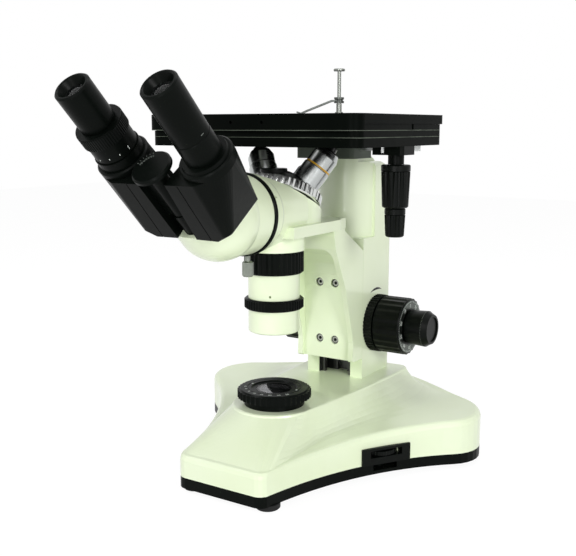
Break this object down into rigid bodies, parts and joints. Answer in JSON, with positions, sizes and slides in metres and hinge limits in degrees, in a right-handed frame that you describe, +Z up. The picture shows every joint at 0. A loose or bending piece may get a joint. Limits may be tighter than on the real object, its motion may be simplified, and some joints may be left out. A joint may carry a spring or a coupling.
{
  "type": "inverted microscope",
  "caption": "Inverted metallurgical microscope: stage over a tilted nosepiece, lamp in a curved base, coaxial focus knobs, inclined binocular head with folding eyepieces.",
  "frame": {"origin": "on the optical axis of the working objective, at the table under the feet", "axes": "+Z up, -Y towards the user at the eyepieces, +X to the user's right"},
  "size_m": [0.282, 0.383, 0.339],
  "materials": {
    "cream_enamel": "satin cream enamel",
    "grey_enamel": "satin dark grey enamel",
    "black_enamel": "satin black enamel",
    "black_plastic": "fine-grained moulding",
    "rubber": "matt",
    "polished_steel": "polished",
    "steel": "ground",
    "lens_glass": "coated lens",
    "lamp_glass": "clear",
    "ceramic": "glazed white",
    "laminate": "varnished iron",
    "board": "green board"
  },
  "bodies": {
    "stand": {"feet": "rubber", "bottom_plate": "black_enamel", "base_cover": "cream_enamel", "side_bezel": "black_plastic", "lamp_socket": "ceramic", "lamp_bulb": "lamp_glass", "collector_lens": "lens_glass", "transformer": "laminate", "control_board": "board", "lens_mount": "black_enamel", "column": "cream_enamel", "power_inlet": "black_plastic", "stage_base": "grey_enamel", "stage_rack": "steel"},
    "rocker": {"power_rocker": "black_plastic"},
    "dimmer": {"dimmer_wheel": "black_plastic"},
    "field": {"field_ring": "black_enamel", "field_glass": "lens_glass"},
    "tension": {"tension_ring": "black_plastic"},
    "coarse": {"coarse_knob_right": "black_plastic", "coarse_knob_left": "black_plastic", "pinion_shaft": "steel"},
    "fine": {"fine_knob_right": "black_plastic", "fine_knob_left": "black_plastic", "fine_shaft": "steel"},
    "carriage": {"focus_bracket": "cream_enamel", "bracket_screws": "steel", "slide_block": "steel", "focus_rack": "steel", "scope_body": "cream_enamel", "illuminator_tube": "cream_enamel", "beam_splitter": "black_enamel", "turret_seat": "black_enamel", "head_joint_ring": "black_enamel", "head_casting": "cream_enamel", "head_prism": "lens_glass", "head_hinge": "black_enamel"},
    "lock": {"lock_screw": "polished_steel"},
    "aperture": {"aperture_ring": "black_enamel"},
    "filter": {"filter_ring": "black_enamel"},
    "nosepiece": {"turret": "polished_steel", "objective_right": "polished_steel", "objective_left": "polished_steel", "objective_rear": "polished_steel", "dust_cap": "black_plastic"},
    "head_right": {"prism_box_right": "black_enamel", "eye_tube_right": "black_enamel", "eyepiece_right": "black_enamel"},
    "head_left": {"prism_box_left": "black_enamel", "eye_tube_left": "black_enamel"},
    "dioptre": {"dioptre_ring": "black_enamel", "eyepiece_left": "black_enamel"},
    "stage_low": {"lower_plate": "black_enamel", "knob_block": "black_enamel"},
    "stage_up": {"upper_plate": "black_enamel", "stage_insert": "polished_steel", "clip_post": "polished_steel"},
    "x_drive": {"x_knob": "black_plastic"},
    "y_drive": {"y_knob": "black_plastic"},
    "clip": {"clip_arm": "black_enamel"}
  },
  "joints": [
    {"name": "focus_slide", "type": "slide", "parent": "stand", "child": "carriage", "axis": [0, 0, 1], "range_m": [-0.015, 0.002]},
    {"name": "coarse_turn", "type": "hinge", "parent": "stand", "child": "coarse", "pos_m": [0, 0.1305, 0.1105], "axis": [1, 0, 0], "range_deg": [-30, 150]},
    {"name": "fine_turn", "type": "hinge", "parent": "coarse", "child": "fine", "pos_m": [0, 0.1305, 0.1105], "axis": [1, 0, 0], "continuous": true},
    {"name": "tension_turn", "type": "hinge", "parent": "stand", "child": "tension", "pos_m": [0, 0.1305, 0.1105], "axis": [1, 0, 0], "range_deg": [-60, 60]},
    {"name": "rocker_tilt", "type": "hinge", "parent": "stand", "child": "rocker", "pos_m": [0.015, 0.18427, 0.0305], "axis": [1, 0, 0], "range_deg": [0, 12]},
    {"name": "dimmer_turn", "type": "hinge", "parent": "stand", "child": "dimmer", "pos_m": [0.07852, 0.04348, 0.0229], "axis": [0, 0, 1], "range_deg": [-140, 140]},
    {"name": "field_turn", "type": "hinge", "parent": "stand", "child": "field", "pos_m": [0, 0, 0.07], "axis": [0, 0, 1], "range_deg": [-30, 30]},
    {"name": "lock_turn", "type": "hinge", "parent": "carriage", "child": "lock", "pos_m": [0, -0.0375, 0.19], "axis": [0, 0, 1], "range_deg": [-360, 0]},
    {"name": "aperture_turn", "type": "hinge", "parent": "carriage", "child": "aperture", "pos_m": [0, 0, 0.183], "axis": [0, 0, 1], "range_deg": [-40, 40]},
    {"name": "filter_turn", "type": "hinge", "parent": "carriage", "child": "filter", "pos_m": [0, 0, 0.149], "axis": [0, 0, 1], "range_deg": [-30, 30]},
    {"name": "nosepiece_turn", "type": "hinge", "parent": "carriage", "child": "nosepiece", "pos_m": [0, 0.01782, 0.24772], "axis": [0, 0.454, 0.891], "continuous": true},
    {"name": "right_fold", "type": "hinge", "parent": "carriage", "child": "head_right", "pos_m": [0, -0.12514, 0.24262], "axis": [0, -0.7071, 0.7071], "range_deg": [-2.1, 25.7]},
    {"name": "left_fold", "type": "hinge", "parent": "carriage", "child": "head_left", "pos_m": [0, -0.12514, 0.24262], "axis": [0, -0.7071, 0.7071], "range_deg": [-25.7, 2.1]},
    {"name": "dioptre_turn", "type": "hinge", "parent": "head_left", "child": "dioptre", "pos_m": [-0.037, -0.15095, 0.28752], "axis": [0, -0.7071, 0.7071], "range_deg": [-150, 150]},
    {"name": "stage_forth", "type": "slide", "parent": "stand", "child": "stage_low", "axis": [0, 1, 0], "range_m": [-0.0075, 0.0075]},
    {"name": "stage_across", "type": "slide", "parent": "stage_low", "child": "stage_up", "axis": [1, 0, 0], "range_m": [-0.0075, 0.0075]},
    {"name": "y_knob_turn", "type": "hinge", "parent": "stage_low", "child": "y_drive", "pos_m": [0.087, 0.047, 0.245], "axis": [0, 0, 1], "range_deg": [-86, 86]},
    {"name": "x_knob_turn", "type": "hinge", "parent": "stage_low", "child": "x_drive", "pos_m": [0.087, 0.047, 0.215], "axis": [0, 0, 1], "range_deg": [-86, 86]},
    {"name": "clip_turn", "type": "hinge", "parent": "stage_up", "child": "clip", "pos_m": [0.0435, 0.03, 0.313], "axis": [0, 0, 1], "range_deg": [-15, 60]}
  ],
  "couplings": [
    {"joint": "coarse_turn", "follows": "focus_slide", "rad_per_m": -166.67},
    {"joint": "left_fold", "follows": "right_fold", "ratio": -1},
    {"joint": "y_knob_turn", "follows": "stage_forth", "rad_per_m": 200},
    {"joint": "x_knob_turn", "follows": "stage_across", "rad_per_m": -200}
  ]
}
